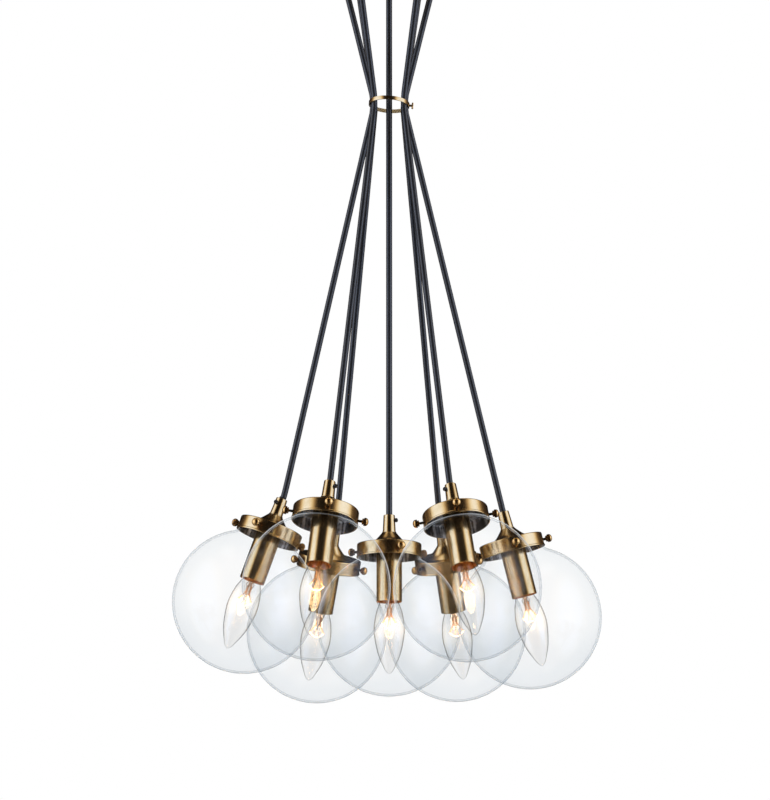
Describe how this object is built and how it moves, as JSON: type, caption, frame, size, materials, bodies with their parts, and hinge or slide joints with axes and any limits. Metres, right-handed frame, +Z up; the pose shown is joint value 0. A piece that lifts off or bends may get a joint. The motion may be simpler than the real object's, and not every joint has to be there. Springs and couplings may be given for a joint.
{
  "type": "cluster pendant light",
  "caption": "Cluster pendant: clear glass globes with torpedo lamps hang on black cords that a brass ring gathers below a round brass canopy.",
  "frame": {"origin": "on the ceiling plane at the canopy's axis, on the top face of the crossbar", "axes": "+Z up out of the ceiling face, +X to the right and +Y away from the viewer of the picture"},
  "size_m": [0.4469, 0.4398, 0.8107],
  "materials": {
    "brass": "satin brushed",
    "screw_brass": "polished",
    "zinc_steel": "zinc plated",
    "cord": "smooth semi-matte jacket",
    "globe_glass": "clear",
    "lamp_glass": "clear, lit warm"
  },
  "bodies": {
    "ceiling": {"ceiling_bracket": "zinc_steel", "canopy": "brass"},
    "bundle": {"gather_ring": "brass", "cord_front_left": "cord", "cord_front_right": "cord", "cord_right": "cord", "cord_back_right": "cord", "cord_back_left": "cord", "cord_left": "cord", "cord_centre": "cord", "holder_centre": "brass", "socket_centre": "brass"},
    "ring_screw": {"gather_ring_screw": "screw_brass"},
    "drop_front_left": {"holder_front_left": "brass", "socket_front_left": "brass"},
    "glass_front_left": {"globe_front_left": "globe_glass"},
    "bulb_front_left": {"lamp_front_left": "lamp_glass"},
    "screw_front_left_1": {"thumb_screw_front_left_1": "screw_brass"},
    "screw_front_left_2": {"thumb_screw_front_left_2": "screw_brass"},
    "screw_front_left_3": {"thumb_screw_front_left_3": "screw_brass"},
    "drop_front_right": {"holder_front_right": "brass", "socket_front_right": "brass"},
    "glass_front_right": {"globe_front_right": "globe_glass"},
    "bulb_front_right": {"lamp_front_right": "lamp_glass"},
    "screw_front_right_1": {"thumb_screw_front_right_1": "screw_brass"},
    "screw_front_right_2": {"thumb_screw_front_right_2": "screw_brass"},
    "screw_front_right_3": {"thumb_screw_front_right_3": "screw_brass"},
    "drop_right": {"holder_right": "brass", "socket_right": "brass"},
    "glass_right": {"globe_right": "globe_glass"},
    "bulb_right": {"lamp_right": "lamp_glass"},
    "screw_right_1": {"thumb_screw_right_1": "screw_brass"},
    "screw_right_2": {"thumb_screw_right_2": "screw_brass"},
    "screw_right_3": {"thumb_screw_right_3": "screw_brass"},
    "drop_back_right": {"holder_back_right": "brass", "socket_back_right": "brass"},
    "glass_back_right": {"globe_back_right": "globe_glass"},
    "bulb_back_right": {"lamp_back_right": "lamp_glass"},
    "screw_back_right_1": {"thumb_screw_back_right_1": "screw_brass"},
    "screw_back_right_2": {"thumb_screw_back_right_2": "screw_brass"},
    "screw_back_right_3": {"thumb_screw_back_right_3": "screw_brass"},
    "drop_back_left": {"holder_back_left": "brass", "socket_back_left": "brass"},
    "glass_back_left": {"globe_back_left": "globe_glass"},
    "bulb_back_left": {"lamp_back_left": "lamp_glass"},
    "screw_back_left_1": {"thumb_screw_back_left_1": "screw_brass"},
    "screw_back_left_2": {"thumb_screw_back_left_2": "screw_brass"},
    "screw_back_left_3": {"thumb_screw_back_left_3": "screw_brass"},
    "drop_left": {"holder_left": "brass", "socket_left": "brass"},
    "glass_left": {"globe_left": "globe_glass"},
    "bulb_left": {"lamp_left": "lamp_glass"},
    "screw_left_1": {"thumb_screw_left_1": "screw_brass"},
    "screw_left_2": {"thumb_screw_left_2": "screw_brass"},
    "screw_left_3": {"thumb_screw_left_3": "screw_brass"},
    "glass_centre": {"globe_centre": "globe_glass"},
    "bulb_centre": {"lamp_centre": "lamp_glass"},
    "screw_centre_1": {"thumb_screw_centre_1": "screw_brass"},
    "screw_centre_2": {"thumb_screw_centre_2": "screw_brass"},
    "screw_centre_3": {"thumb_screw_centre_3": "screw_brass"}
  },
  "joints": [
    {"name": "cluster_sway", "type": "hinge", "parent": "ceiling", "child": "bundle", "pos_m": [0, 0, -0.0403], "axis": [0, 1, 0], "range_deg": [-10, 10], "deforming": ["cord_front_left", "cord_front_right", "cord_right", "cord_back_right", "cord_back_left", "cord_left", "cord_centre"]},
    {"name": "drop_swing_back_left", "type": "hinge", "parent": "bundle", "child": "drop_back_left", "pos_m": [-0.01571, 0.00676, -0.18], "axis": [0.9048, 0.4258, 0], "range_deg": [0, 20], "deforming": ["cord_back_left"]},
    {"name": "drop_swing_back_right", "type": "hinge", "parent": "bundle", "child": "drop_back_right", "pos_m": [0.01571, 0.00676, -0.18], "axis": [0.9442, -0.3295, 0], "range_deg": [0, 20], "deforming": ["cord_back_right"]},
    {"name": "drop_swing_front_left", "type": "hinge", "parent": "bundle", "child": "drop_front_left", "pos_m": [-0.01571, -0.00676, -0.18], "axis": [-0.9149, 0.4038, 0], "range_deg": [0, 20], "deforming": ["cord_front_left"]},
    {"name": "drop_swing_front_right", "type": "hinge", "parent": "bundle", "child": "drop_front_right", "pos_m": [0.01571, -0.00676, -0.18], "axis": [-0.9014, -0.4331, 0], "range_deg": [0, 20], "deforming": ["cord_front_right"]},
    {"name": "drop_swing_left", "type": "hinge", "parent": "bundle", "child": "drop_left", "pos_m": [-0.0171, 0, -0.18], "axis": [-0.0206, 0.9998, 0], "range_deg": [0, 20], "deforming": ["cord_left"]},
    {"name": "drop_swing_right", "type": "hinge", "parent": "bundle", "child": "drop_right", "pos_m": [0.0171, 0, -0.18], "axis": [0.2192, -0.9757, 0], "range_deg": [0, 20], "deforming": ["cord_right"]},
    {"name": "globe_lower_back_left", "type": "slide", "parent": "drop_back_left", "child": "glass_back_left", "axis": [-0.1736, 0.2889, -0.9415], "range_m": [0, 0.012]},
    {"name": "globe_lower_back_right", "type": "slide", "parent": "drop_back_right", "child": "glass_back_right", "axis": [0.1458, 0.3184, -0.9367], "range_m": [0, 0.012]},
    {"name": "globe_lower_centre", "type": "slide", "parent": "bundle", "child": "glass_centre", "axis": [0, 0, -1], "range_m": [0, 0.012]},
    {"name": "globe_lower_front_left", "type": "slide", "parent": "drop_front_left", "child": "glass_front_left", "axis": [-0.1147, -0.2053, -0.972], "range_m": [0, 0.012]},
    {"name": "globe_lower_front_right", "type": "slide", "parent": "drop_front_right", "child": "glass_front_right", "axis": [0.1446, -0.2406, -0.9598], "range_m": [0, 0.012]},
    {"name": "globe_lower_left", "type": "slide", "parent": "drop_left", "child": "glass_left", "axis": [-0.337, -0.0059, -0.9415], "range_m": [0, 0.012]},
    {"name": "globe_lower_right", "type": "slide", "parent": "drop_right", "child": "glass_right", "axis": [0.2425, 0.0467, -0.969], "range_m": [0, 0.012]},
    {"name": "lamp_turn_back_left", "type": "hinge", "parent": "drop_back_left", "child": "bulb_back_left", "pos_m": [-0.07166, 0.11926, -0.69437], "axis": [-0.1736, 0.2889, -0.9415], "range_deg": [0, 1080]},
    {"name": "lamp_turn_back_right", "type": "hinge", "parent": "drop_back_right", "child": "bulb_back_right", "pos_m": [0.06782, 0.14813, -0.68944], "axis": [0.1458, 0.3184, -0.9367], "range_deg": [0, 1080]},
    {"name": "lamp_turn_centre", "type": "hinge", "parent": "bundle", "child": "bulb_centre", "pos_m": [0, 0, -0.7008], "axis": [0, 0, -1], "range_deg": [0, 1080]},
    {"name": "lamp_turn_front_left", "type": "hinge", "parent": "drop_front_left", "child": "bulb_front_left", "pos_m": [-0.06969, -0.12469, -0.68213], "axis": [-0.1147, -0.2053, -0.972], "range_deg": [0, 1080]},
    {"name": "lamp_turn_front_right", "type": "hinge", "parent": "drop_front_right", "child": "bulb_front_right", "pos_m": [0.07376, -0.12275, -0.6836], "axis": [0.1446, -0.2406, -0.9598], "range_deg": [0, 1080]},
    {"name": "lamp_turn_left", "type": "hinge", "parent": "drop_left", "child": "bulb_left", "pos_m": [-0.13911, -0.00243, -0.67944], "axis": [-0.337, -0.0059, -0.9415], "range_deg": [0, 1080]},
    {"name": "lamp_turn_right", "type": "hinge", "parent": "drop_right", "child": "bulb_right", "pos_m": [0.13912, 0.02679, -0.69093], "axis": [0.2425, 0.0467, -0.969], "range_deg": [0, 1080]},
    {"name": "ring_screw_turn", "type": "hinge", "parent": "bundle", "child": "ring_screw", "pos_m": [0.02195, -0.00012, -0.17749], "axis": [0.9977, -0.0052, -0.0678], "range_deg": [0, 720]},
    {"name": "thumb_screw_back_left_1", "type": "slide", "parent": "drop_back_left", "child": "screw_back_left_1", "axis": [0.9163, -0.303, -0.262], "range_m": [0, 0.004]},
    {"name": "thumb_screw_back_left_2", "type": "slide", "parent": "drop_back_left", "child": "screw_back_left_2", "axis": [-0.6525, 0.6823, 0.3297], "range_m": [0, 0.004]},
    {"name": "thumb_screw_back_left_3", "type": "slide", "parent": "drop_back_left", "child": "screw_back_left_3", "axis": [-0.9032, -0.4279, 0.0352], "range_m": [0, 0.004]},
    {"name": "thumb_screw_back_right_1", "type": "slide", "parent": "drop_back_right", "child": "screw_back_right_1", "axis": [0.8685, -0.4946, -0.033], "range_m": [0, 0.004]},
    {"name": "thumb_screw_back_right_2", "type": "slide", "parent": "drop_back_right", "child": "screw_back_right_2", "axis": [-0.024, 0.9476, 0.3184], "range_m": [0, 0.004]},
    {"name": "thumb_screw_back_right_3", "type": "slide", "parent": "drop_back_right", "child": "screw_back_right_3", "axis": [-0.826, -0.4818, -0.2924], "range_m": [0, 0.004]},
    {"name": "thumb_screw_centre_1", "type": "slide", "parent": "bundle", "child": "screw_centre_1", "axis": [0.309, -0.9511, 0], "range_m": [0, 0.004]},
    {"name": "thumb_screw_centre_2", "type": "slide", "parent": "bundle", "child": "screw_centre_2", "axis": [0.8829, 0.4695, 0], "range_m": [0, 0.004]},
    {"name": "thumb_screw_centre_3", "type": "slide", "parent": "bundle", "child": "screw_centre_3", "axis": [-0.9659, 0.2588, 0], "range_m": [0, 0.004]},
    {"name": "thumb_screw_front_left_1", "type": "slide", "parent": "drop_front_left", "child": "screw_front_left_1", "axis": [0.0985, -0.976, 0.1945], "range_m": [0, 0.004]},
    {"name": "thumb_screw_front_left_2", "type": "slide", "parent": "drop_front_left", "child": "screw_front_left_2", "axis": [0.9845, 0.1074, -0.1389], "range_m": [0, 0.004]},
    {"name": "thumb_screw_front_left_3", "type": "slide", "parent": "drop_front_left", "child": "screw_front_left_3", "axis": [-0.9885, -0.0734, 0.1322], "range_m": [0, 0.004]},
    {"name": "thumb_screw_front_right_1", "type": "slide", "parent": "drop_front_right", "child": "screw_front_right_1", "axis": [-0.0005, -0.97, 0.2431], "range_m": [0, 0.004]},
    {"name": "thumb_screw_front_right_2", "type": "slide", "parent": "drop_front_right", "child": "screw_front_right_2", "axis": [0.9889, 0.0685, 0.1318], "range_m": [0, 0.004]},
    {"name": "thumb_screw_front_right_3", "type": "slide", "parent": "drop_front_right", "child": "screw_front_right_3", "axis": [-0.9893, -0.0177, -0.1446], "range_m": [0, 0.004]},
    {"name": "thumb_screw_left_1", "type": "slide", "parent": "drop_left", "child": "screw_left_1", "axis": [-0.321, -0.9393, 0.1208], "range_m": [0, 0.004]},
    {"name": "thumb_screw_left_2", "type": "slide", "parent": "drop_left", "child": "screw_left_2", "axis": [0.8065, 0.5142, -0.2919], "range_m": [0, 0.004]},
    {"name": "thumb_screw_left_3", "type": "slide", "parent": "drop_left", "child": "screw_left_3", "axis": [-0.8905, 0.3265, 0.3168], "range_m": [0, 0.004]},
    {"name": "thumb_screw_right_1", "type": "slide", "parent": "drop_right", "child": "screw_right_1", "axis": [0.0734, -0.9969, -0.0297], "range_m": [0, 0.004]},
    {"name": "thumb_screw_right_2", "type": "slide", "parent": "drop_right", "child": "screw_right_2", "axis": [0.9544, 0.1678, 0.247], "range_m": [0, 0.004]},
    {"name": "thumb_screw_right_3", "type": "slide", "parent": "drop_right", "child": "screw_right_3", "axis": [-0.867, 0.4586, -0.1949], "range_m": [0, 0.004]}
  ]
}
